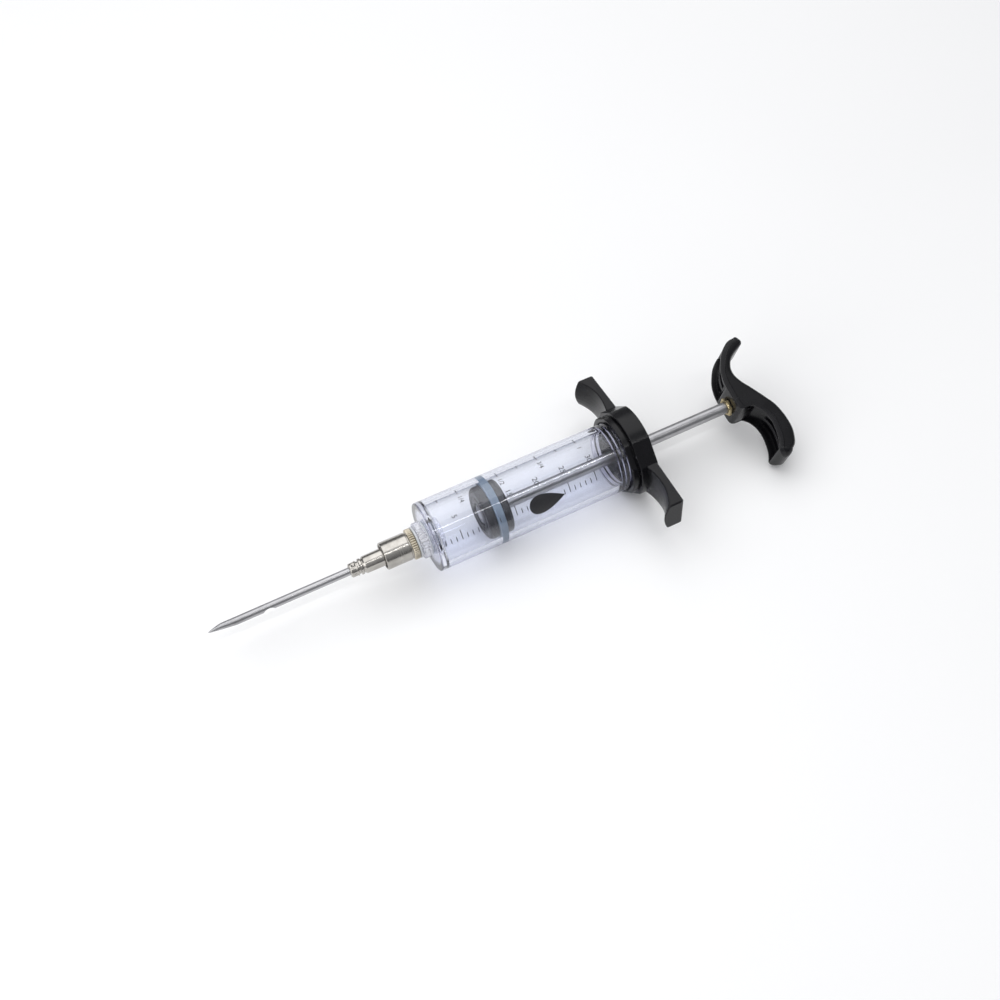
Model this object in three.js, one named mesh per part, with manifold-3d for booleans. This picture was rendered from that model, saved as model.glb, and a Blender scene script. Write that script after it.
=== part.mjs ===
// A 30 ml marinade injector, lying on its grip ring with its finger wings level.
// Millimetres. +X runs from the needle to the handle, the wings reach along Y, and +Z is up.
// A station is a distance along the injector's axis from the needle's point.

import * as THREE from "three";
import { mergeVertices } from "three/addons/utils/BufferGeometryUtils.js";
import Module from "manifold-3d";

const wasm = await Module();
wasm.setup();

// ---- Driving dimensions ----

const TOTAL_LENGTH = 239.4;
const GRIP_RADIUS = 18;
const WING_SPAN = 72;
const BARREL_RADIUS = 14;
const BORE_RADIUS = 11.6;
const ROD_RADIUS = 2.4;
const NEEDLE_RADIUS = 1.55;
const HANDLE_WIDTH = 16;
const HANDLE_SPIN = THREE.MathUtils.degToRad(18); // how far the handle is turned from the wings' plane

const FIT = 0.1; // radial clearance of a piece in its seat
const SEAT = 0.1; // gap between two faces that are pressed together
const CHAMFER = 0.5;
const COARSE = 48; // sides of the turned pieces as wide as the barrel
const FINE = 24; // sides of the small turned pieces

// ---- Stations ----

const FERRULE_FRONT = 56.3;
const HUB_FRONT = FERRULE_FRONT + 4;
const SOCKET_FRONT = HUB_FRONT + 9.6;
const SOCKET_FLOOR = SOCKET_FRONT + 7.3;
const COLLAR_FRONT = SOCKET_FRONT + 10.9;
const COLLAR_REAR = COLLAR_FRONT + 2.5;
const BARREL_FRONT = 88.2;
const CHAMBER_FLOOR = BARREL_FRONT + 2.5;
const NOSE_REAR = CHAMBER_FLOOR + 3.3;
const PISTON_FRONT = 110.4;
const SEAL_FRONT = PISTON_FRONT + 3.4;
const SEAL_REAR = SEAL_FRONT + 3.5;
const PISTON_REAR = SEAL_REAR + 3.2;
const GRIP_REAR = 180;
const GRIP_FRONT = GRIP_REAR - 10.5;
const BAND_FRONT = GRIP_REAR - 7.6;
const GRIP_WALL = GRIP_REAR - 3.6;
const BARREL_REAR = GRIP_WALL - 1.2;
const HANDLE_FACE = TOTAL_LENGTH - 16.7;

// ---- Shaping helpers ----

// A solid of revolution about the X axis. The profile is [station, radius] points, running
// towards +X along outer surfaces and back along bores.
function turned(profile, sides) {
  const points = profile.map(([station, radius]) => new THREE.Vector2(radius, station));
  return new THREE.LatheGeometry(points, sides).rotateZ(-Math.PI / 2);
}

// A plain bush or washer, with small chamfers on its outer edges.
function bush(front, rear, inner, outer, sides, chamfer = 0) {
  return turned([
    [front, inner],
    [front, outer - chamfer],
    [front + chamfer, outer],
    [rear - chamfer, outer],
    [rear, outer - chamfer],
    [rear, inner],
    [front, inner],
  ], sides);
}

// Turns a geometry drawn in XY and extruded along Z so that it is drawn in YZ and runs along X.
function alongX(geometry) {
  const turn = new THREE.Matrix4().makeBasis(
    new THREE.Vector3(0, 1, 0),
    new THREE.Vector3(0, 0, 1),
    new THREE.Vector3(1, 0, 0),
  );
  return geometry.applyMatrix4(turn);
}

// An outline in YZ extruded from one station to another, with a bore through it.
function prism(front, rear, outline, bore) {
  const shape = new THREE.Shape(outline);
  const hole = new THREE.Path().absarc(0, 0, bore, 0, 2 * Math.PI, true);
  shape.holes.push(hole);
  const geometry = new THREE.ExtrudeGeometry(shape, {
    depth: rear - front,
    bevelEnabled: false,
    curveSegments: FINE / 2,
  });
  return alongX(geometry).translate(front, 0, 0);
}

// Points around a circle whose radius changes from one point to the next.
function circlePoints(count, radiusAt) {
  const points = [];
  for (let i = 0; i < count; i += 1) {
    const angle = (i / count) * 2 * Math.PI;
    const radius = radiusAt(i);
    points.push(new THREE.Vector2(radius * Math.cos(angle), radius * Math.sin(angle)));
  }
  return points;
}

// A ring with straight ribs or knurls around it.
function fluted(front, rear, bore, outer, ribs, depth) {
  const outline = circlePoints(ribs * 2, (i) => (i % 2 === 0 ? outer : outer - depth));
  return prism(front, rear, outline, bore);
}

// A hexagon nut of a given size across its flats.
function hexNut(front, rear, bore, acrossFlats) {
  const outline = circlePoints(6, () => acrossFlats / 2 / Math.cos(Math.PI / 6));
  return prism(front, rear, outline, bore);
}

// Welds a geometry's vertices, leaves out triangles of no area, and keeps only positions.
function welded(geometry) {
  const bare = geometry.clone();
  bare.deleteAttribute("normal");
  bare.deleteAttribute("uv");
  const merged = mergeVertices(bare, 1e-4);
  const source = merged.index.array;
  const kept = [];
  for (let i = 0; i < source.length; i += 3) {
    const [a, b, c] = [source[i], source[i + 1], source[i + 2]];
    if (a !== b && b !== c && c !== a) {
      kept.push(a, b, c);
    }
  }
  merged.setIndex(kept);
  return merged;
}

function toManifold(geometry) {
  const mesh = welded(geometry);
  return new wasm.Manifold(new wasm.Mesh({
    numProp: 3,
    vertProperties: new Float32Array(mesh.attributes.position.array),
    triVerts: new Uint32Array(mesh.index.array),
  }));
}

function fromManifold(solid) {
  const mesh = solid.getMesh();
  const geometry = new THREE.BufferGeometry();
  geometry.setAttribute("position", new THREE.BufferAttribute(mesh.vertProperties, 3));
  geometry.setIndex(new THREE.BufferAttribute(mesh.triVerts, 1));
  return geometry;
}

// ---- Materials ----

function material(color, roughness, metalness) {
  return new THREE.MeshStandardMaterial({ color, roughness, metalness });
}

const steel = () => material(0xb9bbbe, 0.22, 1);
const nickel = () => material(0xc9c4b8, 0.25, 1);
const wornNickel = () => material(0xb8a98a, 0.4, 1);
const brass = () => material(0xb99a52, 0.35, 1);
const clearPlastic = () => material(0xe0e2f2, 0.08, 0);
const blackPlastic = () => material(0x141416, 0.32, 0);
const darkRubber = () => material(0x2b2c30, 0.6, 0);
const blueSilicone = () => material(0x6f90a8, 0.35, 0);
const paleSilicone = () => material(0xc8ccd2, 0.5, 0);

// ---- The model and its groups ----

const injector = new THREE.Group();
const needle = new THREE.Group();
const nose = new THREE.Group();
const plunger = new THREE.Group();
const grip = new THREE.Group();
const handle = new THREE.Group();
handle.rotation.x = HANDLE_SPIN;
injector.add(needle, nose, plunger, grip, handle);

function addPiece(group, name, geometry, finish) {
  const mesh = new THREE.Mesh(welded(geometry), finish);
  mesh.name = name;
  group.add(mesh);
}

// ---- Needle ----

const SHORT_TAPER = 5.4; // length of the point on its steeper side
const LONG_TAPER = 11; // and on its flatter side
const STEEP_SIDE = THREE.MathUtils.degToRad(57); // measured from +Z towards +Y
const NEEDLE_BORE = 0.95;
const NEEDLE_REAR = HUB_FRONT + 2.2;
const TUBE_SEAT = NEEDLE_RADIUS + FIT;

// How far one side of the point stands from the axis at a station.
function taperAt(station, length) {
  return NEEDLE_RADIUS * Math.min(1, station / length) ** 0.7;
}

// Moves the sections of the point off the axis, so that one side is steeper than the other.
function lopsided(geometry) {
  const position = geometry.attributes.position;
  for (let i = 0; i < position.count; i += 1) {
    const station = position.getX(i);
    const offset = (taperAt(station, SHORT_TAPER) - taperAt(station, LONG_TAPER)) / 2;
    position.setY(i, position.getY(i) + offset * Math.sin(STEEP_SIDE));
    position.setZ(i, position.getZ(i) + offset * Math.cos(STEEP_SIDE));
  }
  return geometry;
}

// The tube is closed at its point and open at the rear. The marinade leaves by two scoops ground
// across its sides, deep enough to lay the bore open.
function needleTube() {
  const boreFloor = 12;
  const profile = [[0, 0]];
  for (const station of [1, 2.4, SHORT_TAPER, 8, LONG_TAPER]) {
    const radius = (taperAt(station, SHORT_TAPER) + taperAt(station, LONG_TAPER)) / 2;
    profile.push([station, radius]);
  }
  profile.push([NEEDLE_REAR, NEEDLE_RADIUS]);
  profile.push([NEEDLE_REAR, NEEDLE_BORE]);
  profile.push([boreFloor, NEEDLE_BORE]);
  profile.push([boreFloor, 0]);
  const scoopRadius = 3.7;
  const scoopDepth = 0.8;
  const scoops = [
    { station: 15, angle: 146 },
    { station: 23.5, angle: -124 },
  ];
  let solid = toManifold(lopsided(turned(profile, FINE)));
  for (const { station, angle } of scoops) {
    const cutter = new THREE.CylinderGeometry(scoopRadius, scoopRadius, 4 * NEEDLE_RADIUS, FINE);
    cutter.translate(station, 0, NEEDLE_RADIUS - scoopDepth + scoopRadius);
    cutter.rotateX(-THREE.MathUtils.degToRad(angle));
    solid = solid.subtract(toManifold(cutter));
  }
  return fromManifold(solid);
}

function needleFerrule() {
  const rear = HUB_FRONT - 2 * SEAT;
  return turned([
    [FERRULE_FRONT, TUBE_SEAT],
    [FERRULE_FRONT, 2.3],
    [FERRULE_FRONT + 0.5, 2.75],
    [FERRULE_FRONT + 2.7, 3],
    [FERRULE_FRONT + 3.1, 2.5],
    [rear, 2.5],
    [rear, TUBE_SEAT],
    [FERRULE_FRONT, TUBE_SEAT],
  ], FINE);
}

const HUB_REAR = SOCKET_FLOOR - 1.8;
const HUB_RADIUS = 3.5;
const SOCKET_BORE = 4.8;

// The hub tapers towards the needle. Its rear flange turns in the socket, and its conical
// bore slides over the socket's cone.
function needleHub() {
  return turned([
    [HUB_FRONT, TUBE_SEAT],
    [HUB_FRONT, 3.2],
    [HUB_FRONT + 0.9, 3.2],
    [HUB_FRONT + 1.2, 3.3],
    [SOCKET_FRONT, HUB_RADIUS],
    [HUB_REAR - 1.4, HUB_RADIUS],
    [HUB_REAR - 1.4, SOCKET_BORE - 0.3],
    [HUB_REAR, SOCKET_BORE - 0.3],
    [HUB_REAR, 2.55],
    [NEEDLE_REAR + CHAMFER, 2.2],
    [NEEDLE_REAR + CHAMFER, TUBE_SEAT],
    [HUB_FRONT, TUBE_SEAT],
  ], FINE);
}

addPiece(needle, "needle_tube", needleTube(), steel());
addPiece(needle, "needle_ferrule", needleFerrule(), nickel());
addPiece(needle, "needle_hub", needleHub(), nickel());
addPiece(
  needle,
  "hub_seal",
  bush(HUB_REAR + 2 * SEAT, SOCKET_FLOOR - 3 * SEAT, 2.4, SOCKET_BORE - CHAMFER, FINE),
  paleSilicone(),
);

// ---- Lock socket and clear nose ----

const SOCKET_RADIUS = 5.5;
const TAIL_RADIUS = 3;
const TAIL_SEAT = TAIL_RADIUS + FIT;
const CONE_FRONT = SOCKET_FRONT + 0.7;
const FLUID_BORE = 0.9;
const NECK_RADIUS = 4.9;
const NECK_SEAT = NECK_RADIUS + FIT;
const NOSE_FLANGE_REAR = BARREL_FRONT - 0.6;

// A cup that locks the hub, with the hollow cone that the hub seals on and a threaded tail.
function lockSocket() {
  return turned([
    [CONE_FRONT, FLUID_BORE],
    [CONE_FRONT, 1.95],
    [SOCKET_FLOOR, 2.15],
    [SOCKET_FLOOR, SOCKET_BORE],
    [SOCKET_FRONT, SOCKET_BORE],
    [SOCKET_FRONT, SOCKET_RADIUS - 0.3],
    [SOCKET_FRONT + CHAMFER, SOCKET_RADIUS],
    [COLLAR_FRONT, SOCKET_RADIUS],
    [COLLAR_FRONT, TAIL_RADIUS],
    [NOSE_REAR - SEAT, TAIL_RADIUS],
    [NOSE_REAR - SEAT, FLUID_BORE],
    [CONE_FRONT, FLUID_BORE],
  ], FINE);
}

// The clear bush carries the metal tail through the barrel's front wall.
function noseBush() {
  const front = COLLAR_REAR + 0.9;
  const flange = fluted(front, NOSE_FLANGE_REAR, TAIL_SEAT, 7.2, 24, 0.45);
  const neck = bush(front, NOSE_REAR, TAIL_SEAT, NECK_RADIUS, FINE);
  return fromManifold(toManifold(flange).add(toManifold(neck)));
}

addPiece(nose, "lock_socket", lockSocket(), nickel());
addPiece(
  nose,
  "knurled_ring",
  fluted(COLLAR_FRONT + SEAT, COLLAR_REAR, TAIL_SEAT, 6.15, 32, 0.3),
  wornNickel(),
);
addPiece(
  nose,
  "nose_washer",
  bush(COLLAR_REAR + SEAT, COLLAR_REAR + 0.8, TAIL_SEAT, 6.3, FINE),
  paleSilicone(),
);
addPiece(nose, "nose_bush", noseBush(), clearPlastic());
addPiece(
  nose,
  "nose_gasket",
  bush(NOSE_FLANGE_REAR + SEAT, BARREL_FRONT - SEAT, NECK_SEAT, 6.9, FINE),
  paleSilicone(),
);
addPiece(
  nose,
  "nose_nut",
  fluted(CHAMBER_FLOOR + SEAT, NOSE_REAR - SEAT, NECK_SEAT, 6.3, 18, 0.4),
  clearPlastic(),
);

// ---- Barrel ----

const THREAD_PITCH = 2;
const THREAD_TURNS = 4;
const THREAD_DEPTH = 0.6;

// The thread is a row of plain grooves here, so that the grip cap can turn on it.
function barrel() {
  const profile = [
    [BARREL_FRONT, NECK_SEAT],
    [BARREL_FRONT, BARREL_RADIUS - CHAMFER],
    [BARREL_FRONT + CHAMFER, BARREL_RADIUS],
  ];
  const quarter = THREAD_PITCH / 4;
  const threadFront = BARREL_REAR - THREAD_TURNS * THREAD_PITCH - quarter;
  for (let turn = 0; turn < THREAD_TURNS; turn += 1) {
    const start = threadFront + turn * THREAD_PITCH;
    profile.push([start, BARREL_RADIUS]);
    profile.push([start + quarter, BARREL_RADIUS - THREAD_DEPTH]);
    profile.push([start + 2 * quarter, BARREL_RADIUS - THREAD_DEPTH]);
    profile.push([start + 3 * quarter, BARREL_RADIUS]);
  }
  profile.push([BARREL_REAR, BARREL_RADIUS]);
  profile.push([BARREL_REAR, BORE_RADIUS]);
  profile.push([CHAMBER_FLOOR + 1, BORE_RADIUS]);
  profile.push([CHAMBER_FLOOR, BORE_RADIUS - 1]);
  profile.push([CHAMBER_FLOOR, NECK_SEAT]);
  profile.push([BARREL_FRONT, NECK_SEAT]);
  return turned(profile, COARSE);
}

addPiece(injector, "barrel", barrel(), clearPlastic());

// ---- Plunger: rod and piston ----

const STUB_RADIUS = 2; // the rod's turned-down ends that pass through the piston
const STUB_SEAT = STUB_RADIUS + FIT;
const PISTON_RADIUS = 10.8;
const SPIGOT_RADIUS = 8.2;
const RECESS_RADIUS = 4.5;
const RECESS_FLOOR = PISTON_FRONT + 2.8;
const ROD_SHOULDER = PISTON_REAR + 0.7;
const ROD_REAR = HANDLE_FACE + 8;

// The front disc holds the nut in a recess, and its spigot carries the seal.
function pistonFront() {
  return turned([
    [RECESS_FLOOR, STUB_SEAT],
    [RECESS_FLOOR, RECESS_RADIUS],
    [PISTON_FRONT, RECESS_RADIUS],
    [PISTON_FRONT, PISTON_RADIUS - 1.2],
    [PISTON_FRONT + 0.4, PISTON_RADIUS - 0.4],
    [PISTON_FRONT + 1.2, PISTON_RADIUS],
    [SEAL_FRONT, PISTON_RADIUS],
    [SEAL_FRONT, SPIGOT_RADIUS],
    [SEAL_REAR, SPIGOT_RADIUS],
    [SEAL_REAR, STUB_SEAT],
    [RECESS_FLOOR, STUB_SEAT],
  ], COARSE);
}

function plungerRod() {
  return turned([
    [PISTON_FRONT + SEAT, 0],
    [PISTON_FRONT + SEAT, STUB_RADIUS - 0.2],
    [PISTON_FRONT + 3 * SEAT, STUB_RADIUS],
    [ROD_SHOULDER, STUB_RADIUS],
    [ROD_SHOULDER, ROD_RADIUS],
    [ROD_REAR, ROD_RADIUS],
    [ROD_REAR, 0],
  ], FINE);
}

addPiece(plunger, "piston_front", pistonFront(), darkRubber());
addPiece(
  plunger,
  "piston_seal",
  bush(SEAL_FRONT + SEAT, SEAL_REAR - SEAT, SPIGOT_RADIUS + FIT, BORE_RADIUS - FIT, COARSE, CHAMFER),
  blueSilicone(),
);
addPiece(
  plunger,
  "piston_rear",
  bush(SEAL_REAR + SEAT, PISTON_REAR, STUB_SEAT, PISTON_RADIUS, COARSE, 0.4),
  darkRubber(),
);
addPiece(plunger, "plunger_rod", plungerRod(), steel());
addPiece(
  plunger,
  "piston_nut",
  hexNut(PISTON_FRONT + SEAT, PISTON_FRONT + 2.1, STUB_SEAT, 7),
  steel(),
);
addPiece(
  plunger,
  "front_washer",
  bush(PISTON_FRONT + 2.2, RECESS_FLOOR - SEAT, STUB_SEAT, RECESS_RADIUS - CHAMFER, FINE),
  steel(),
);
addPiece(
  plunger,
  "back_washer",
  bush(PISTON_REAR + SEAT, ROD_SHOULDER - SEAT, STUB_SEAT, 4.2, FINE),
  steel(),
);

// ---- Grip cap with its finger wings ----

const CAP_BORE = BARREL_RADIUS + 0.3;
const BUSH_RADIUS = 4.4;
const FLAT_START = THREE.MathUtils.degToRad(29.5); // where the ring's round crown turns into a flat
const WING_ROOT = THREE.MathUtils.degToRad(63.5); // where the flat meets the wing
const WING_INSIDE = 13; // the wings start inside the ring's wall

// The ring is round above and below, with a flat beside each wing.
function ringOutline(radius) {
  const shape = new THREE.Shape();
  const up = Math.PI / 2;
  shape.absarc(0, 0, radius, up - FLAT_START, up + FLAT_START, false);
  shape.absarc(0, 0, radius, up + WING_ROOT, 3 * up - WING_ROOT, false);
  shape.absarc(0, 0, radius, 3 * up - FLAT_START, 3 * up + FLAT_START, false);
  shape.absarc(0, 0, radius, 3 * up + WING_ROOT, 5 * up - WING_ROOT, false);
  shape.closePath();
  return shape;
}

function ringStep(front, rear, radius, edge) {
  const geometry = new THREE.ExtrudeGeometry(ringOutline(radius), {
    depth: rear - front - 2 * edge,
    bevelThickness: edge,
    bevelSize: edge,
    bevelOffset: -edge,
    bevelSegments: 2,
    curveSegments: 6,
  });
  return toManifold(alongX(geometry).translate(front + edge, 0, 0));
}

// A narrower lip in front of the wide band that carries the wings.
function gripRing() {
  const lip = ringStep(GRIP_FRONT, BAND_FRONT + 2, GRIP_RADIUS - 1.6, CHAMFER);
  const band = ringStep(BAND_FRONT, GRIP_REAR, GRIP_RADIUS, 2 * CHAMFER);
  return lip.add(band);
}

// Each wing is the common part of three extrusions: a concave finger rest seen from above,
// a tapered outline seen from the front, and a crowned lip seen from the tip.
function gripWing() {
  const tip = WING_SPAN / 2;
  const above = new THREE.Shape();
  above.moveTo(GRIP_REAR, WING_INSIDE);
  above.lineTo(GRIP_REAR, tip - CHAMFER);
  above.lineTo(GRIP_REAR - CHAMFER, tip);
  above.lineTo(GRIP_REAR - 7, tip);
  above.quadraticCurveTo(GRIP_REAR - 9, tip, GRIP_REAR - 8.2, tip - 1.4);
  above.quadraticCurveTo(GRIP_REAR + 0.2, 24.5, GRIP_REAR - 4.9, 14.5);
  above.lineTo(GRIP_REAR - 4.9, WING_INSIDE);
  const fingerRest = new THREE.ExtrudeGeometry(above, {
    depth: GRIP_RADIUS,
    bevelEnabled: false,
    curveSegments: 8,
  });
  fingerRest.translate(0, 0, -GRIP_RADIUS / 2);

  const rootHeight = 8.6;
  const tipHeight = 7.2;
  const taper = new THREE.Shape([
    new THREE.Vector2(WING_INSIDE, -rootHeight),
    new THREE.Vector2(tip, -tipHeight),
    new THREE.Vector2(tip, tipHeight),
    new THREE.Vector2(WING_INSIDE, rootHeight),
  ]);
  const front = new THREE.ExtrudeGeometry(taper, { depth: GRIP_RADIUS, bevelEnabled: false });
  alongX(front).translate(GRIP_REAR - GRIP_RADIUS, 0, 0);

  const crown = new THREE.Shape();
  crown.moveTo(GRIP_REAR, -GRIP_RADIUS / 2);
  crown.lineTo(GRIP_REAR, GRIP_RADIUS / 2);
  crown.lineTo(GRIP_REAR - 5, GRIP_RADIUS / 2);
  crown.quadraticCurveTo(GRIP_REAR - 12, 0, GRIP_REAR - 5, -GRIP_RADIUS / 2);
  const lip = new THREE.ExtrudeGeometry(crown, {
    depth: WING_SPAN / 2,
    bevelEnabled: false,
    curveSegments: 8,
  });
  lip.rotateX(Math.PI / 2).translate(0, WING_SPAN / 2 + CHAMFER, 0);

  return toManifold(fingerRest).intersect(toManifold(front)).intersect(toManifold(lip));
}

function gripCap() {
  const bore = turned([
    [GRIP_FRONT - 1, 0],
    [GRIP_FRONT - 1, CAP_BORE],
    [GRIP_WALL, CAP_BORE],
    [GRIP_WALL, BUSH_RADIUS + FIT],
    [GRIP_REAR + 1, BUSH_RADIUS + FIT],
    [GRIP_REAR + 1, 0],
  ], COARSE);
  const wing = gripWing();
  const wings = wing.add(wing.mirror([0, 1, 0]));
  return fromManifold(gripRing().add(wings).subtract(toManifold(bore)));
}

// A flanged bush that guides the rod through the cap's rear wall.
function rodBush() {
  const flangeFront = BARREL_REAR - 0.2;
  const guide = ROD_RADIUS + FIT;
  return turned([
    [flangeFront, guide],
    [flangeFront, 7],
    [GRIP_WALL - SEAT, 7],
    [GRIP_WALL - SEAT, BUSH_RADIUS],
    [GRIP_REAR - SEAT, BUSH_RADIUS],
    [GRIP_REAR - SEAT, guide],
    [flangeFront, guide],
  ], FINE);
}

addPiece(grip, "grip_cap", gripCap(), blackPlastic());
addPiece(
  grip,
  "cap_gasket",
  bush(BARREL_REAR + SEAT, GRIP_WALL - SEAT, 10, BARREL_RADIUS - CHAMFER, COARSE),
  darkRubber(),
);
addPiece(grip, "rod_bush", rodBush(), blackPlastic());

// ---- Handle ----

const INSERT_RADIUS = 3.2;
const SLOT_WIDTH = 3.3;
const SLOT_SPACING = 4.75;

function path(points) {
  return points.map(([x, y]) => new THREE.Vector2(x, y));
}

// The S-shaped profile, measured from the boss face: a hook above the axis, the boss on it,
// and the palm lobe below.
function handleOutline() {
  const shape = new THREE.Shape();
  shape.moveTo(0, -4);
  shape.splineThru(path([[1, -5.6], [3.6, -5.3], [6.6, -6.6], [9, -10.8], [9.6, -14.6], [9.2, -18.8],
    [8.3, -22.4], [6.4, -26.6]]));
  shape.quadraticCurveTo(6.2, -30.2, 9.2, -29.9);
  shape.splineThru(path([[11.8, -28.6], [15.3, -24.4], [16.4, -20.4], [16.7, -15.6], [15.6, -8.4],
    [12.6, -2.6], [8.9, 3.9], [6.3, 10.2], [7.1, 14.5], [8.9, 16.7], [13.2, 19.3], [15.2, 20.3]]));
  shape.quadraticCurveTo(17, 21.6, 15.8, 22.8);
  shape.quadraticCurveTo(14.6, 24.2, 12.6, 23.4);
  shape.splineThru(path([[8.8, 22], [6, 19.9], [3.4, 16.9], [0.9, 12], [0, 6]]));
  shape.closePath();
  return shape;
}

// The hollows that lighten the lobe and the hook, open towards the barrel.
function lobeHollow() {
  const shape = new THREE.Shape();
  shape.moveTo(4, -9.5);
  shape.lineTo(12.4, -9.5);
  shape.splineThru(path([[14.4, -14], [14, -19], [12.4, -23.4]]));
  shape.quadraticCurveTo(10.6, -25.4, 8.8, -25);
  shape.lineTo(0, -18);
  shape.closePath();
  return shape;
}

function hookHollow() {
  const shape = new THREE.Shape();
  shape.moveTo(-2, 9);
  shape.lineTo(4, 9);
  shape.splineThru(path([[4.6, 12.6], [6.6, 16.8]]));
  shape.lineTo(3, 20);
  shape.lineTo(-2, 16);
  shape.closePath();
  return shape;
}

function handleShell() {
  const edge = 1.1;
  const body = new THREE.ExtrudeGeometry(handleOutline(), {
    depth: HANDLE_WIDTH - 2 * edge,
    bevelThickness: edge,
    bevelSize: edge,
    bevelOffset: -edge,
    bevelSegments: 2,
    curveSegments: 2,
  });
  body.translate(HANDLE_FACE, 0, -HANDLE_WIDTH / 2 + edge);
  const socket = turned([
    [HANDLE_FACE - 1, 0],
    [HANDLE_FACE - 1, INSERT_RADIUS + FIT],
    [ROD_REAR + 1, INSERT_RADIUS + FIT],
    [ROD_REAR + 1, 0],
  ], FINE);
  let solid = toManifold(body).subtract(toManifold(socket));
  for (const offset of [-SLOT_SPACING, 0, SLOT_SPACING]) {
    for (const outline of [lobeHollow(), hookHollow()]) {
      const slot = new THREE.ExtrudeGeometry(outline, {
        depth: SLOT_WIDTH,
        bevelEnabled: false,
        curveSegments: 2,
      });
      slot.translate(HANDLE_FACE, 0, offset - SLOT_WIDTH / 2);
      solid = solid.subtract(toManifold(slot));
    }
  }
  return fromManifold(solid);
}

addPiece(handle, "handle", handleShell(), blackPlastic());
addPiece(
  handle,
  "handle_insert",
  bush(HANDLE_FACE + SEAT, ROD_REAR + CHAMFER, ROD_RADIUS + FIT, INSERT_RADIUS, FINE),
  brass(),
);
addPiece(
  handle,
  "lock_nut",
  hexNut(HANDLE_FACE - 1.7, HANDLE_FACE - SEAT, ROD_RADIUS + FIT, 6.6),
  brass(),
);

// The frame's origin is below the middle of the injector, at the height of the grip ring's underside.
injector.position.set(-TOTAL_LENGTH / 2, 0, GRIP_RADIUS);

export default injector;
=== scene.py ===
"""A 30 ml marinade injector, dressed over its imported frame.

Metres. +X runs from the needle to the handle, the finger wings reach along Y, and +Z is up.
An angle around the injector is measured from +Z, and is positive towards +Y.
"""

import math

import bmesh
import bpy
from mathutils import Matrix, Vector


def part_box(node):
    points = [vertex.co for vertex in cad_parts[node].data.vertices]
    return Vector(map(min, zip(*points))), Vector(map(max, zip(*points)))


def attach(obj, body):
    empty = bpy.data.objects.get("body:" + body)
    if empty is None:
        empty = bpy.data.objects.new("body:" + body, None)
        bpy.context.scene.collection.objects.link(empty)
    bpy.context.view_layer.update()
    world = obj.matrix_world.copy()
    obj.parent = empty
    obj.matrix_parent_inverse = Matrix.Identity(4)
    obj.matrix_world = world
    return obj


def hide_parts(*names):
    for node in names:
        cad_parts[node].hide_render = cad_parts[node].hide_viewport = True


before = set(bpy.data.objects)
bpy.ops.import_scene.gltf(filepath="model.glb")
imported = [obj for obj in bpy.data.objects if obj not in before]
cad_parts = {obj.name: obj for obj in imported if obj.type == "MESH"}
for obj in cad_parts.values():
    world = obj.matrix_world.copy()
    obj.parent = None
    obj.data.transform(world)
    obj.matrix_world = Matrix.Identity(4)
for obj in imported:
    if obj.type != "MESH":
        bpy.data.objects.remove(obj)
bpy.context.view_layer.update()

MM = 0.001


# ---- Sizes read from the frame ----


def span(node):
    """Where a node starts and ends along the injector."""
    low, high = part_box(node)
    return low[0], high[0]


def outer_radius(node):
    """Half the height of a node that is round about the injector's axis."""
    low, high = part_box(node)
    return (high[2] - low[2]) / 2


def axis_height():
    low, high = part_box("barrel")
    return (low[2] + high[2]) / 2


AXIS_Z = axis_height()
NEEDLE_TIP = span("needle_tube")[0]
BARREL_FRONT, BARREL_REAR = span("barrel")
BARREL_RADIUS = outer_radius("barrel")
SEAL_FRONT, SEAL_REAR = span("piston_seal")
BORE_RADIUS = outer_radius("piston_seal") + 0.1 * MM
ROD_RADIUS = outer_radius("plunger_rod")
GRIP_FRONT, GRIP_REAR = span("grip_cap")
CROWN_RADIUS = outer_radius("grip_cap")
WING_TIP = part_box("grip_cap")[1][1]
HANDLE_FACE = span("handle")[0]
HANDLE_SPIN = math.radians(18)
ROUND = 128  # sides of the widest turned pieces
SLIM = 64  # sides of the thin ones


# ---- Mesh helpers ----


def around(x, radius, angle):
    """A point at a station and radius, at an angle around the injector."""
    return Vector((x, radius * math.sin(angle), AXIS_Z + radius * math.cos(angle)))


def soften(points, size, closed=True, steps=3):
    """Rounds the corners of a 2-D outline, each by no more than 0.4 of its shorter side."""
    rounded = []
    count = len(points)
    for i, point in enumerate(points):
        here = Vector(point)
        if not closed and i in (0, count - 1):
            rounded.append(tuple(here))
            continue
        before = Vector(points[i - 1]) - here
        after = Vector(points[(i + 1) % count]) - here
        reach = min(size, 0.4 * before.length, 0.4 * after.length)
        start = here + before.normalized() * reach
        end = here + after.normalized() * reach
        for k in range(steps + 1):
            t = k / steps
            mid = (1 - t) ** 2 * start + 2 * t * (1 - t) * here + t * t * end
            rounded.append(tuple(mid))
    return rounded


def smoothstep(low, high, value):
    t = min(1.0, max(0.0, (value - low) / (high - low)))
    return t * t * (3 - 2 * t)


def window(value, low, high, ramp):
    """1 between low and high, 0 outside them, with a smooth ramp inside each end."""
    return smoothstep(low, low + ramp, value) * (1 - smoothstep(high - ramp, high, value))


def mesh_object(name, build):
    """An object whose mesh is filled in by build(bm), with its faces turned outwards."""
    mesh = bpy.data.meshes.new(name)
    bm = bmesh.new()
    build(bm)
    bmesh.ops.recalc_face_normals(bm, faces=bm.faces)
    for face in bm.faces:
        face.smooth = True
    bm.to_mesh(mesh)
    bm.free()
    obj = bpy.data.objects.new(name, mesh)
    bpy.context.scene.collection.objects.link(obj)
    return obj


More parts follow.
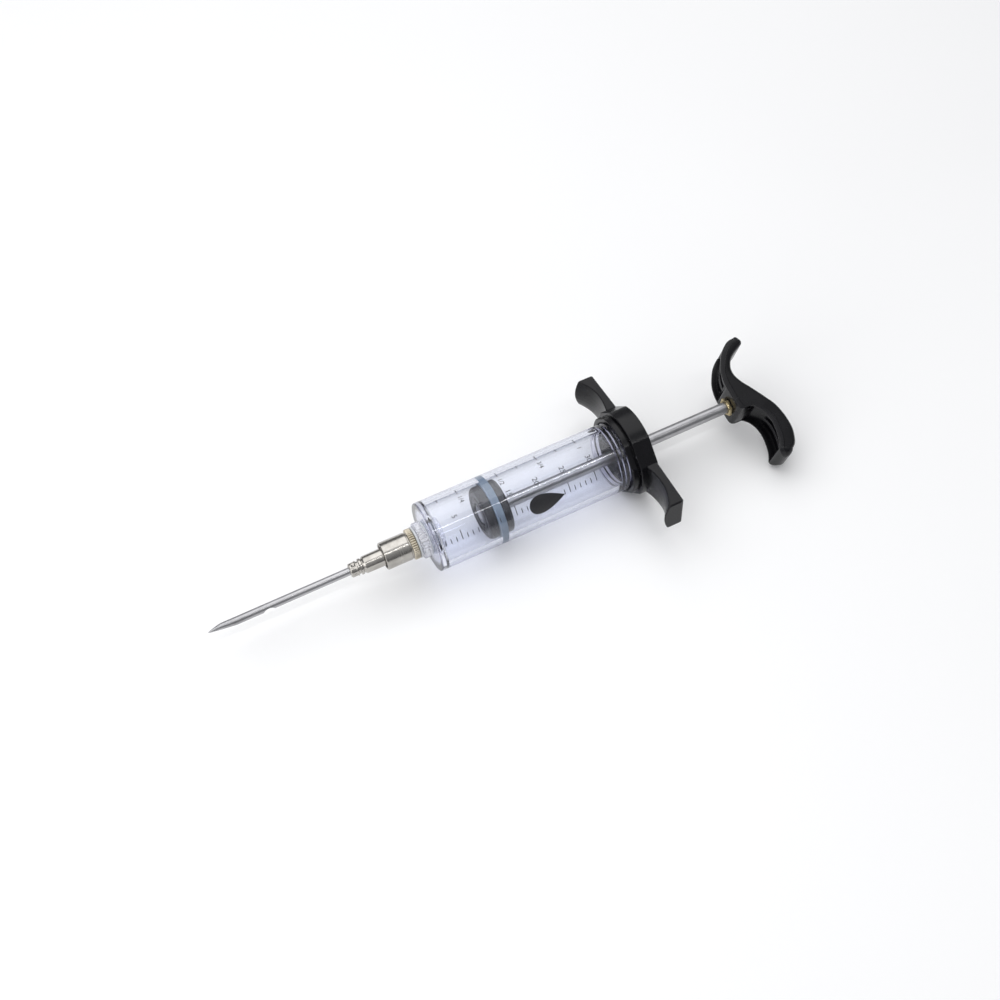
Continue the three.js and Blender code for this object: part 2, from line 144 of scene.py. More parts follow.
def bridge(bm, first, second):
    """Quads, or triangles at a pole, between two rings of vertices."""
    count = max(len(first), len(second))
    for i in range(count):
        j = (i + 1) % count
        corners = [first[i % len(first)], first[j % len(first)]]
        corners += [second[j % len(second)], second[i % len(second)]]
        corners = list(dict.fromkeys(corners))
        if len(corners) > 2:
            bm.faces.new(corners)


def loft(name, rings, loop=False):
    """A skin over rings of points: capped at both ends, or joined end to start in a loop."""

    def build(bm):
        made = [[bm.verts.new(point) for point in ring] for ring in rings]
        for first, second in zip(made, made[1:]):
            bridge(bm, first, second)
        if loop:
            bridge(bm, made[-1], made[0])
            return
        for end in (made[0], made[-1]):
            if len(end) > 2:
                bm.faces.new(end)

    return mesh_object(name, build)


def turned(name, profile, sides=SLIM, shape=None):
    """A solid of revolution of a closed [station, radius] profile, or one from axis to axis.

    shape(x, radius, angle) may return another radius, for knurls, flats and threads.
    """
    rings = []
    for x, radius in profile:
        if radius < 1e-7:
            rings.append([around(x, 0, 0)])
            continue
        ring = []
        for i in range(sides):
            angle = 2 * math.pi * i / sides
            size = shape(x, radius, angle) if shape else radius
            ring.append(around(x, size, angle))
        rings.append(ring)
    loop = len(rings[0]) > 1
    return loft(name, rings, loop)


def bush_profile(front, rear, inner, outer, edge):
    return soften([(front, inner), (front, outer), (rear, outer), (rear, inner)], edge)


def steps_between(low, high, count):
    return [low + (high - low) * i / count for i in range(count + 1)]


def cut(obj, cutters):
    """Cuts other objects out of obj, and removes them."""
    for cutter in cutters:
        modifier = obj.modifiers.new("cut", "BOOLEAN")
        modifier.operation = "DIFFERENCE"
        modifier.solver = "EXACT"
        modifier.object = cutter
    bpy.context.view_layer.update()
    evaluated = obj.evaluated_get(bpy.context.evaluated_depsgraph_get())
    mesh = bpy.data.meshes.new_from_object(evaluated)
    obj.modifiers.clear()
    obj.data = mesh
    for cutter in cutters:
        bpy.data.objects.remove(cutter)


def dress(obj, finish, body, *nodes, sharp=50):
    """Gives a piece its finish and body, and lets it stand for its CAD nodes."""
    obj.data.materials.clear()
    obj.data.materials.append(finish)
    obj.data.set_sharp_from_angle(angle=math.radians(sharp))
    normals = obj.modifiers.new("normals", "WEIGHTED_NORMAL")
    normals.keep_sharp = True
    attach(obj, body)
    if nodes:
        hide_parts(*nodes)
    return obj


def refinish(obj, finish, chosen):
    """Gives a second finish to the faces that chosen(x, radius) picks out by their middles."""
    obj.data.materials.append(finish)
    slot = len(obj.data.materials) - 1
    for face in obj.data.polygons:
        centre = face.center
        if chosen(centre.x, math.hypot(centre.y, centre.z - AXIS_Z)):
            face.material_index = slot


# ---- Material helpers ----


class Finish:
    """A material on the Principled shader, with helpers for its pattern nodes."""

    def __init__(self, name):
        self.material = bpy.data.materials.new(name)
        self.material.use_nodes = True
        self.tree = self.material.node_tree
        self.shader = self.tree.nodes["Principled BSDF"]
        self.coordinates = self.add("ShaderNodeTexCoord").outputs["Object"]

    def add(self, kind, settings=None, **inputs):
        node = self.tree.nodes.new(kind)
        for key, value in (settings or {}).items():
            setattr(node, key, value)
        for key, value in inputs.items():
            self.feed(node.inputs[key.replace("_", " ")], value)
        return node

    def feed(self, socket, value):
        if isinstance(value, bpy.types.NodeSocket):
            self.tree.links.new(value, socket)
        else:
            socket.default_value = value

    def set(self, **inputs):
        for key, value in inputs.items():
            self.feed(self.shader.inputs[key.replace("_", " ")], value)

    def noise(self, scale, detail=2, stretch=(1, 1, 1)):
        """Noise with a given number of features per metre, drawn out along an axis by stretch."""
        placed = self.add("ShaderNodeMapping", Vector=self.coordinates, Scale=stretch)
        vector = placed.outputs["Vector"]
        return self.add(
            "ShaderNodeTexNoise", Vector=vector, Scale=scale, Detail=detail
        ).outputs["Fac"]

    def between(self, factor, low, high, start=0.3, end=0.7):
        """A number that goes from low to high as factor goes from start to end."""
        node = self.add("ShaderNodeMapRange", Value=factor)
        for key, value in (("From Min", start), ("From Max", end), ("To Min", low), ("To Max", high)):
            node.inputs[key].default_value = value
        return node.outputs["Result"]

    def blend(self, factor, first, second):
        node = self.add("ShaderNodeMix", {"data_type": "RGBA"})
        self.feed(node.inputs[0], factor)
        self.feed(node.inputs[6], first)
        self.feed(node.inputs[7], second)
        return node.outputs[2]

    def edges(self, start, end):
        """0 on flats and 1 on a piece's convex edges, from its mesh."""
        pointiness = self.add("ShaderNodeNewGeometry").outputs["Pointiness"]
        return self.between(pointiness, 0, 1, start, end)

    def relief(self, height, strength, distance, under=None):
        node = self.add("ShaderNodeBump", Height=height, Strength=strength, Distance=distance)
        if under:
            self.feed(node.inputs["Normal"], under)
        return node.outputs["Normal"]


def shade(value):
    return (value, value, value, 1)


# ---- Materials ----


def moulded_black(name, base, gloss):
    """Injection-moulded black plastic: a faint grain, handling marks, and a painted highlight that makes
    its convex edges paler.
    """
    finish = Finish(name)
    grain = finish.noise(5200, 2)
    cloud = finish.noise(120, 3)
    edge_highlight = finish.edges(0.52, 0.62)
    body = finish.blend(finish.between(cloud, 0, 1), base, [1.5 * c for c in base[:3]] + [1])
    finish.set(
        # Convex edges are blended to a paler grey: a painted highlight.
        Base_Color=finish.blend(edge_highlight, body, (0.05, 0.05, 0.055, 1)),
        Specular_IOR_Level=0.24,
        Roughness=finish.between(cloud, gloss, gloss + 0.1),
        Normal=finish.relief(grain, 0.12, 0.03 * MM, finish.relief(cloud, 0.15, 0.1 * MM)),
    )
    return finish.material


def metal(name, base, dark, gloss, stretch, scale):
    """Turned or drawn metal: fine tool lines, cloudy tarnish, and a painted highlight that makes its edges
    brighter.
    """
    finish = Finish(name)
    lines = finish.noise(scale, 3, stretch)
    cloud = finish.noise(260, 4)
    edge_glint = [min(1, 1.15 * c) for c in base[:3]] + [1]
    body = finish.blend(finish.between(cloud, 0, 1, 0.35, 0.75), base, dark)
    finish.set(
        # Convex edges get a brighter colour: a painted highlight.
        Base_Color=finish.blend(finish.edges(0.51, 0.6), body, edge_glint),
        Metallic=1,
        Roughness=finish.between(lines, gloss, gloss + 0.12),
        Normal=finish.relief(lines, 0.03, 0.01 * MM),
    )
    return finish.material


def rubber(name, base, pale, gloss):
    """Moulded rubber or silicone: a matt, slightly dusty skin, with a painted highlight that makes its
    convex edges paler.
    """
    finish = Finish(name)
    speck = finish.noise(2600, 4)
    cloud = finish.noise(240, 3)
    body = finish.blend(finish.between(cloud, 0, 1), base, pale)
    finish.set(
        # Convex edges are blended to the paler colour: a painted highlight.
        Base_Color=finish.blend(finish.edges(0.51, 0.6), body, pale),
        Roughness=finish.between(speck, gloss, gloss + 0.2),
        Normal=finish.relief(speck, 0.2, 0.03 * MM),
    )
    return finish.material


def clear(name, tint, gloss, milk=0):
    """Clear moulded plastic that lets lamp light through, with painted shade that deepens its colour where
    it is seen edge on.
    """
    finish = Finish(name)
    flow = finish.noise(60, 2, (0.4, 1, 1))
    scuff = finish.noise(900, 5, (0.2, 1, 1))
    glancing = finish.add("ShaderNodeLayerWeight", Blend=0.5).outputs["Facing"]
    middle = finish.blend(finish.between(flow, 0, 1), tint, [min(1, 1.02 * c) for c in tint])
    finish.set(
        # Where the surface is seen edge on, its colour is blended to a deep lilac: painted shade.
        Base_Color=finish.blend(finish.between(glancing, 0, 1, 0.55, 1), middle, LILAC_EDGE_ON_SHADE),
        Transmission_Weight=1 - milk,
        IOR=1.5,
        Roughness=finish.between(scuff, gloss, gloss + 0.05, 0.5, 0.8),
        Normal=finish.relief(flow, 0.03, 0.2 * MM),
    )
    path = finish.add("ShaderNodeLightPath")
    passed = finish.add("ShaderNodeBsdfTransparent", Color=LILAC_SHADE)
    mix = finish.add("ShaderNodeMixShader")
    finish.feed(mix.inputs[0], path.outputs["Is Shadow Ray"])
    finish.feed(mix.inputs[1], finish.shader.outputs[0])
    finish.feed(mix.inputs[2], passed.outputs[0])
    finish.feed(finish.tree.nodes["Material Output"].inputs["Surface"], mix.outputs[0])
    return finish.material


def printed(name, base, thin):
    """Screen-printed ink, a little thin in places."""
    finish = Finish(name)
    cloud = finish.noise(3200, 3)
    finish.set(
        Base_Color=finish.blend(finish.between(cloud, 0, 1, 0.45, 0.75), base, thin),
        Roughness=finish.between(cloud, 0.4, 0.6),
        Normal=finish.relief(cloud, 0.1, 0.01 * MM),
    )
    return finish.material


RINGED = (1, 0.04, 0.04)  # tool lines that run around the axis
DRAWN = (0.03, 1, 1)  # tool lines that run along the axis
LILAC_EDGE_ON_SHADE = (0.3, 0.31, 0.47, 1)  # painted shade on the clear plastic where it is seen edge on
LILAC_SHADE = (0.9, 0.91, 0.95, 1)  # the light that has passed through it

black = moulded_black("moulded_black", (0.0035, 0.0035, 0.0045, 1), 0.2)
steel = metal("drawn_steel", (0.4, 0.4, 0.41, 1), (0.3, 0.3, 0.31, 1), 0.26, DRAWN, 5200)
# Dark steel for the nut and washers; inside the socket's cup the same finish is painted shade.
dark_steel_and_shade = metal("dark_steel_and_shade", (0.2, 0.2, 0.22, 1), (0.12, 0.12, 0.13, 1), 0.3, RINGED, 6000)
nickel = metal("nickel_plate", (0.48, 0.46, 0.43, 1), (0.33, 0.315, 0.29, 1), 0.16, RINGED, 2600)
worn_nickel = metal("worn_nickel", (0.6, 0.55, 0.46, 1), (0.42, 0.37, 0.28, 1), 0.3, RINGED, 4200)
brass = metal("brass", (0.46, 0.38, 0.22, 1), (0.28, 0.22, 0.11, 1), 0.24, RINGED, 4200)
piston_rubber = rubber("piston_rubber", (0.012, 0.012, 0.014, 1), (0.032, 0.032, 0.036, 1), 0.36)
gasket_rubber = rubber("gasket_rubber", (0.02, 0.02, 0.022, 1), (0.05, 0.05, 0.052, 1), 0.55)
blue_silicone = rubber("blue_silicone", (0.18, 0.235, 0.31, 1), (0.25, 0.31, 0.38, 1), 0.3)
pale_silicone = rubber("pale_silicone", (0.55, 0.57, 0.6, 1), (0.68, 0.7, 0.72, 1), 0.4)
clear_barrel = clear("clear_barrel", (0.78, 0.805, 0.88, 1), 0.015)
clear_bore = clear("clear_bore", (0.96, 0.965, 0.98, 1), 0.015)
# A darker tint for the barrel's rounded front rim and its thread: painted shade.
clear_rim_shade = clear("clear_rim_shade", (0.4, 0.4, 0.54, 1), 0.03)
clear_nose = clear("clear_nose", (0.93, 0.935, 0.97, 1), 0.25, 0.25)
scale_ink = printed("scale_ink", (0.03, 0.03, 0.04, 1), (0.12, 0.12, 0.14, 1))
badge_ink = printed("badge_ink", (0.012, 0.012, 0.015, 1), (0.03, 0.03, 0.035, 1))


# ---- Needle ----

# The needle's openings: millimetres behind its tip, and degrees around it.
NEEDLE_SCOOPS = ((15, 146), (23.5, -124))


def make_needle():
    front, rear = span("needle_tube")
    radius = outer_radius("needle_tube")
    steep, gentle = 5.4 * MM, 11 * MM
    bore = 0.95 * MM
    floor = front + 12 * MM

    def reach(x, length):
        """How far one side of the point stands from the axis."""
        return radius * min(1, max(0, x - front) / length) ** 0.7

    profile = [(front, 0)]
    for x in steps_between(front, front + gentle, 24)[1:]:
        profile.append((x, (reach(x, steep) + reach(x, gentle)) / 2))
    profile += [(rear, radius), (rear, bore), (floor, bore), (floor, 0)]
    tube = turned("needle", profile)

    # The point is steeper on one side than on the other, so its sections move off the axis.
    steep_side = around(0, 1, math.radians(57)) - around(0, 0, 0)
    for vertex in tube.data.vertices:
        x = vertex.co.x
        vertex.co += steep_side * (reach(x, steep) - reach(x, gentle)) / 2

    cutters = []
    for station, angle in NEEDLE_SCOOPS:
        cutters.append(scoop_cutter(front + station * MM, radius, math.radians(angle)))
    cut(tube, cutters)
    dress(tube, steel, "needle", "needle_tube", sharp=35)


def scoop_cutter(station, radius, angle):
    """A short cylinder laid across the tube, which lays its bore open."""
    scoop_radius = 3.7 * MM
    scoop_depth = 0.8 * MM
    centre = around(station, radius - scoop_depth + scoop_radius, angle)
    outwards = around(0, 1, angle) - around(0, 0, 0)
    sideways = around(0, 1, angle + math.pi / 2) - around(0, 0, 0)
    rings = []
    for across in (-2 * radius, 2 * radius):
        ring = []
        for i in range(ROUND):
            turn = 2 * math.pi * i / ROUND
            along = Vector((scoop_radius * math.cos(turn), 0, 0))
            ring.append(centre + along + outwards * scoop_radius * math.sin(turn) + sideways * across)
        rings.append(ring)
    return loft("scoop_cutter", rings)


def make_ferrule():
    front, rear = span("needle_ferrule")
    radius = outer_radius("needle_ferrule")
    inner = outer_radius("needle_tube") + 0.05 * MM
    dents = 4
    dent_depth = 0.55 * MM

    def crimped(x, size, angle):
        """The crimping tool leaves a ring of dents in the middle of the sleeve."""
        place = window((x - front) / (rear - front), 0.2, 0.72, 0.25)
        dent = max(0, math.cos(dents * angle)) ** 2
        return size - dent_depth * place * dent if size > 1.1 * inner else size

    profile = [(front, inner), (front, 0.8 * radius)]
    profile += [(x, 0.93 * radius) for x in steps_between(front + 0.4 * MM, front + 2.5 * MM, 10)]
    profile += [(front + 2.7 * MM, radius), (front + 3 * MM, radius), (front + 3.2 * MM, 0.84 * radius)]
    profile += [(rear, 0.84 * radius), (rear, inner)]
    dress(turned("ferrule", profile, SLIM, crimped), nickel, "needle", "needle_ferrule", sharp=60)


def make_hub():
    front, rear = span("needle_hub")
    radius = outer_radius("needle_hub")
    inner = outer_radius("needle_tube") + 0.05 * MM
    socket_front = span("lock_socket")[0]
    body = 3.5 * MM
    outline = [
        (front, inner),
        (front, 3.2 * MM),
        (front + 0.9 * MM, 3.2 * MM),
        (front + 1.1 * MM, 2.8 * MM),
        (front + 1.3 * MM, 2.8 * MM),
        (front + 2.1 * MM, 3.4 * MM),
        (socket_front, body),
        (rear - 1.4 * MM, body),
        (rear - 1.4 * MM, radius),
        (rear, radius),
        (rear, 2.55 * MM),
        (front + 2.7 * MM, 2.2 * MM),
        (front + 2.7 * MM, inner),
    ]

    def lugged(x, size, angle):
        """The rear flange is cut back to two lugs, and two flats run along the body."""
        if x > rear - 1.41 * MM and size > 0.99 * body:
            lug = smoothstep(0.3, 0.5, abs(math.cos(angle)))
            return body + (size - body) * lug
        flat = 0.93 * size / max(0.93, abs(math.sin(angle)))
        between = window(x, front + 2.1 * MM, rear - 1.4 * MM, 0.4 * MM)
        return min(size, size + (flat - size) * between) if size > 2.7 * MM else size

    profile = soften(outline, 0.15 * MM)
    dress(turned("hub", profile, SLIM, lugged), nickel, "needle", "needle_hub", sharp=45)


# ---- Nose: socket, knurled ring and clear bush ----


def make_socket():
    front, rear = span("lock_socket")
    radius = outer_radius("lock_socket")
    collar = span("knurled_ring")[0]
    tail = 3 * MM
    bore = 0.9 * MM
    cup = 4.8 * MM
    floor = front + 7.3 * MM
    outline = [
        (front + 0.7 * MM, bore),
        (front + 0.7 * MM, 1.95 * MM),
        (floor, 2.15 * MM),
        (floor, cup),
    ]
    thread_pitch = 1.4 * MM
    flank = 0.2 * MM
    for turn in range(4):  # the thread inside the cup
        start = floor - MM - turn * thread_pitch
        outline += [(start, cup), (start - flank, cup - flank)]
        outline += [(start - 2 * flank, cup - flank), (start - 3 * flank, cup)]
    outline += [
        (front + 0.5 * MM, cup),
        (front, cup + 0.15 * MM),
        (front, radius - 0.3 * MM),
        (front + 0.3 * MM, radius),
        (collar - 0.8 * MM, radius),
        (collar - 0.6 * MM, radius - 0.25 * MM),
        (collar - 0.3 * MM, radius - 0.25 * MM),
        (collar - 0.1 * MM, radius),
        (collar - 0.1 * MM, tail),
        (rear, tail),
        (rear, bore),
    ]
    socket = turned("socket", soften(outline, 0.12 * MM), ROUND)
    dress(socket, nickel, "barrel", "lock_socket")
    # The inside of the cup is given dark steel: painted shade in the gap around the hub.
    refinish(socket, dark_steel_and_shade, lambda x, size: front + 0.3 * MM < x < floor and size < 1.02 * cup)


def make_knurled_ring():
    front, rear = span("knurled_ring")
    radius = outer_radius("knurled_ring")
    inner = 3.1 * MM
    teeth = 40
    depth = 0.45 * MM
    sides = teeth * 6
    edge = 0.3 * MM

    def knurl(x, size, angle):
        if size < 1.2 * inner:
            return size
        return size - depth * (1 - abs(math.sin(teeth / 2 * angle)))

    profile = [(front, inner), (front, radius - edge)]
    profile += [(x, radius) for x in steps_between(front + edge, rear - edge, 8)]
    profile += [(rear, radius - edge), (rear, inner)]
    ring = turned("knurled_ring_visual", profile, sides, knurl)
    dress(ring, worn_nickel, "barrel", "knurled_ring", sharp=60)


def flutes(ribs, depth, least):
    """A radius function for rounded ribs that run along the axis."""

    def shape(x, size, angle):
        if size < least:
            return size
        groove = (0.5 - 0.5 * math.cos(ribs * angle)) ** 1.5
        return size - depth * groove

    return shape


def make_nose_bush():
    front, rear = span("nose_bush")
    radius = outer_radius("nose_bush")
    flange_rear = span("nose_gasket")[0] - 0.1 * MM
    neck = 4.9 * MM
    inner = 3.1 * MM
    edge = 0.3 * MM
    ribs = 34
    profile = [(front, inner), (front, radius - 1.4 * MM), (front + edge, radius - 0.8 * MM)]
    profile += [(x, radius) for x in steps_between(front + 2 * edge, flange_rear - edge, 5)]
    profile += [(flange_rear, radius - edge), (flange_rear, neck), (rear, neck), (rear, inner)]
    bush = turned("nose_bush_visual", profile, ribs * 6, flutes(ribs, 0.6 * MM, 1.2 * neck))
    dress(bush, clear_nose, "barrel", "nose_bush", sharp=60)


def make_nose_nut():
    front, rear = span("nose_nut")
    radius = outer_radius("nose_nut")
    inner = 5 * MM
    edge = 0.2 * MM
    ribs = 36
    rings = 5
    groove = 0.18 * MM
    rib = flutes(ribs, 0.4 * MM, 1.1 * inner)

    def grid(x, size, angle):
        """Axial ribs, crossed by grooves around the nut."""
        if size < 1.1 * inner:
            return size
        wave = 0.5 - 0.5 * math.cos(2 * math.pi * rings * (x - front) / (rear - front))
        return rib(x, size, angle) - groove * (1 - wave)

    profile = [(front, inner), (front, radius - edge)]
    profile += [(x, radius) for x in steps_between(front + edge, rear - edge, 6 * rings)]
    profile += [(rear, radius - edge), (rear, inner)]
    nut = turned("nose_nut_visual", profile, ribs * 6, grid)
    dress(nut, clear_nose, "barrel", "nose_nut", sharp=60)


# ---- Barrel and its printed scale ----


def make_barrel():
    pitch = 2 * MM
    depth = 0.7 * MM
    neck = 5 * MM
    floor = BARREL_FRONT + 2.5 * MM
    thread_front = BARREL_REAR - 4.8 * pitch

    def threaded(x, size, angle):
        """A single groove winds around the rear end, and fades in at its front."""
        if size < 0.99 * BARREL_RADIUS or x < thread_front:
            return size
        turn = ((x - thread_front) / pitch - angle / (2 * math.pi)) % 1
        groove = 0.5 - 0.5 * math.cos(2 * math.pi * turn)
        return size - depth * groove * smoothstep(thread_front, thread_front + 0.3 * pitch, x)

    head = soften([(BARREL_FRONT, neck), (BARREL_FRONT, BARREL_RADIUS),
                   (thread_front, BARREL_RADIUS)], 0.6 * MM, closed=False, steps=5)
    thread = [(x, BARREL_RADIUS) for x in steps_between(thread_front, BARREL_REAR, 96)]
    cavity = soften([(BARREL_REAR, BARREL_RADIUS), (BARREL_REAR, BORE_RADIUS), (floor, BORE_RADIUS),
                     (floor, neck), (BARREL_FRONT, neck)], 1.2 * MM, closed=False, steps=6)
    profile = head + thread[1:] + cavity[1:-1]
    barrel = turned("barrel_visual", profile, ROUND, threaded)
    dress(barrel, clear_barrel, "barrel", "barrel", sharp=45)

    # The tint is on the outside alone, so the solid wall is as deep in colour as the bore behind it.
    # The thread and the rounded front rim get a darker tint: painted shade.
    def inside(x, radius):
        return x > BARREL_FRONT + 0.1 * MM and radius < 1.01 * BORE_RADIUS

    def rim_or_thread(x, radius):
        front_rim = BARREL_FRONT + 0.05 * MM < x < BARREL_FRONT + 0.7 * MM
        return radius > 1.01 * BORE_RADIUS and (front_rim or x > thread_front)

    refinish(barrel, clear_bore, inside)
    refinish(barrel, clear_rim_shade, rim_or_thread)


SCALE_ZERO = NEEDLE_TIP + 87.2 * MM  # where the printed scale reads nothing
ML_STEP = 2.275 * MM
OUNCE_STEP = 7.39 * ML_STEP  # a quarter of a fluid ounce
BADGE_X = NEEDLE_TIP + 134.2 * MM
BADGE_HALF_LENGTH = 7.5 * MM
BADGE_ANGLE = math.radians(-58)
INK_LIFT = 0.02 * MM
INK_DEPTH = 0.03 * MM
INK_HALF_LINE = 0.16 * MM

# Angles around the barrel, in degrees: where the marks end, and where the numbers stand.
ML_MARK_END = -59
ML_SHORT_MARK = -51
ML_LONG_MARK = -43
ML_NUMBER = -21
OUNCE_NUMBER = 2
OUNCE_MARK_START = 14
OUNCE_SHORT_MARK = 21
OUNCE_LONG_MARK = 26


class Print:
    """Collects printed marks as thin closed shapes wrapped round the barrel."""

    def __init__(self, name):
        self.name = name
        self.patches = []

    def band(self, x0, x1, angle0, angle1, across=6):
        """A mark between two stations and two angles, given in degrees."""
        grid = []
        for x in (x0, x1):
            row = [math.radians(angle0 + (angle1 - angle0) * i / across) for i in range(across + 1)]
            grid.append([(x, angle) for angle in row])
        self.patches.append(grid)

    def sheet(self, grid):
        self.patches.append(grid)

    def made(self, finish, texts=()):
        low = BARREL_RADIUS + INK_LIFT
        high = low + INK_DEPTH

        def build(bm):
            for grid in self.patches:
                layers = []
                for radius in (low, high):
                    layers.append([[bm.verts.new(around(x, radius, a)) for x, a in row] for row in grid])
                close_sheet(bm, layers[0], layers[1])
            for vertices, faces in texts:
                made = [bm.verts.new(v) for v in vertices]
                for face in faces:
                    bm.faces.new([made[i] for i in face])

        return dress(mesh_object(self.name, build), finish, "barrel", sharp=30)


def close_sheet(bm, lower, upper):
    """Joins two grids of vertices into one thin closed shape."""
    rows = len(lower)
    columns = len(lower[0])
    for layer in (lower, upper):
        for i in range(rows - 1):
            for j in range(columns - 1):
                bm.faces.new([layer[i][j], layer[i][j + 1], layer[i + 1][j + 1], layer[i + 1][j]])
    rim = [(0, j) for j in range(columns)] + [(i, columns - 1) for i in range(1, rows)]
    rim += [(rows - 1, j) for j in range(columns - 2, -1, -1)] + [(i, 0) for i in range(rows - 2, 0, -1)]
    for (i, j), (k, m) in zip(rim, rim[1:] + rim[:1]):
        bm.faces.new([lower[i][j], lower[k][m], upper[k][m], upper[i][j]])


def wrapped_text(text, size, x, angle):
    """The vertices and faces of a number, centred at a station and an angle in degrees.

    Its top points to the handle, so it reads upright with the needle down.
    """
    curve = bpy.data.curves.new("number", "FONT")
    curve.body = text
    curve.size = size
    curve.extrude = INK_DEPTH / 2
    curve.resolution_u = 3
    curve.align_x = "CENTER"
    curve.align_y = "CENTER"
    carrier = bpy.data.objects.new("number", curve)
    bpy.context.scene.collection.objects.link(carrier)
    bpy.context.view_layer.update()
    evaluated = carrier.evaluated_get(bpy.context.evaluated_depsgraph_get())
    mesh = bpy.data.meshes.new_from_object(evaluated)
    vertices = []
    for vertex in mesh.vertices:
        right, top, out = vertex.co
        turn = math.radians(angle) - right / BARREL_RADIUS
        radius = BARREL_RADIUS + INK_LIFT + INK_DEPTH / 2 + out
        vertices.append(around(x + top, radius, turn))
    faces = [list(polygon.vertices) for polygon in mesh.polygons]
    bpy.data.objects.remove(carrier)
    bpy.data.curves.remove(curve)
    bpy.data.meshes.remove(mesh)
    return vertices, faces


def make_scale():
    """Millilitres on the near side and ounces on top; the badge takes the place of some marks."""
    marks = Print("printed_scale")
    numbers = []

    def mark(x, start, end):
        marks.band(x - INK_HALF_LINE, x + INK_HALF_LINE, start, end)

    for ml in range(1, 31):
        x = SCALE_ZERO + ml * ML_STEP
        numbered = ml % 5 == 0
        if abs(x - BADGE_X) > BADGE_HALF_LENGTH:
            mark(x, ML_LONG_MARK if numbered else ML_SHORT_MARK, ML_MARK_END)
        if numbered:
            numbers.append(wrapped_text(str(ml), 3 * MM, x, ML_NUMBER))
    for quarter, label in enumerate(("1/4", "1/2", "3/4", "1"), start=1):
        x = SCALE_ZERO + quarter * OUNCE_STEP
        mark(x, OUNCE_MARK_START, OUNCE_LONG_MARK)
        numbers.append(wrapped_text(label, 2.6 * MM, x, OUNCE_NUMBER))
        mark(x - OUNCE_STEP / 2, OUNCE_MARK_START, OUNCE_SHORT_MARK)
    marks.made(scale_ink, numbers)


def make_badge():
    """A plain solid drop, printed beside the scale."""
    badge = Print("printed_badge")
    half_width = 5.2 * MM  # before the outline narrows towards its point
    rows = 96
    columns = 4  # on each side of the drop's middle

    def row(turn):
        """Points across the drop, at one place between its point and its round end."""
        x = BADGE_X + BADGE_HALF_LENGTH * math.cos(turn)
        reach = half_width * math.sin(turn) * math.sin(turn / 2) ** 1.2 / BARREL_RADIUS
        return [(x, BADGE_ANGLE + reach * i / columns) for i in range(-columns, columns + 1)]

    badge.sheet([row(math.pi * i / rows) for i in range(1, rows)])
    badge.made(badge_ink)


# ---- Plunger: rod and piston ----


def make_piston():
    front, rear = span("piston_front")
    radius = outer_radius("piston_front")
    stub = 2.1 * MM
    recess = 4.5 * MM
    recess_floor = front + 2.8 * MM
    shoulder = span("piston_seal")[0] - 0.1 * MM
    spigot = 8.2 * MM
    outline = [
        (recess_floor, stub),
        (recess_floor, recess),
        (front, recess + 0.3 * MM),
        (front, 6.6 * MM),
        (front + 0.35 * MM, 6.9 * MM),
        (front + 0.35 * MM, 7.5 * MM),
        (front, 7.8 * MM),
        (front, radius - 1.1 * MM),
        (front + 0.35 * MM, radius - 0.35 * MM),
        (front + 1.1 * MM, radius),
        (shoulder, radius),
        (shoulder, spigot),
        (rear, spigot),
        (rear, stub),
    ]
    disc = turned("piston_front_disc", soften(outline, 0.25 * MM), ROUND)
    dress(disc, piston_rubber, "piston", "piston_front")

    # The seal is pressed into the bore a little, so that it shows through the wall at full width.
    squeezed = BORE_RADIUS + 0.04 * MM
    profile = bush_profile(SEAL_FRONT, SEAL_REAR, spigot + 0.1 * MM, squeezed, 0.5 * MM)
    dress(turned("seal_ring", profile, ROUND), blue_silicone, "piston", "piston_seal")

    front, rear = span("piston_rear")
    radius = outer_radius("piston_rear")
    outline = [
        (front, stub),
        (front, radius - 0.2 * MM),
        (front + 0.2 * MM, radius),
        (rear - 0.9 * MM, radius),
        (rear, radius - 0.9 * MM),
        (rear, 7 * MM),
        (rear - 0.5 * MM, 6.6 * MM),
        (rear - 0.5 * MM, 5 * MM),
        (rear, 4.6 * MM),
        (rear, stub),
    ]
    disc = turned("piston_rear_disc", soften(outline, 0.25 * MM), ROUND)
    dress(disc, piston_rubber, "piston", "piston_rear")


def make_rod():
    front, rear = span("plunger_rod")
    stub = 2 * MM
    shoulder = span("back_washer")[1] + 0.1 * MM
    pitch = 0.7 * MM
    thread_depth = 0.2 * MM
    thread_rear = front + 3 * MM

    def threaded(x, size, angle):
        if x > thread_rear or size < 0.9 * stub:
            return size
        turn = ((x - front) / pitch - angle / (2 * math.pi)) % 1
        return size - thread_depth * abs(2 * turn - 1)

    profile = [(front, 0), (front, 0.95 * stub)]
    profile += [(x, stub) for x in steps_between(front + 0.1 * MM, thread_rear, 24)]
    profile += soften([(thread_rear, stub), (shoulder, stub), (shoulder, ROD_RADIUS),
                       (rear, ROD_RADIUS), (rear, 0)], 0.2 * MM, closed=False)[1:]
    dress(turned("rod", profile, SLIM, threaded), steel, "plunger", "plunger_rod", sharp=40)


def hexagon(across_flats, corner):
    """A radius function for a hexagon nut with its corners chamfered on a cone."""

    def shape(x, size, angle):
        if size < 0.7 * across_flats / 2:
            return size
        turn = angle % (math.pi / 3) - math.pi / 6
        flat = across_flats / 2 / math.cos(turn)
        return min(flat, size, corner)

    return shape


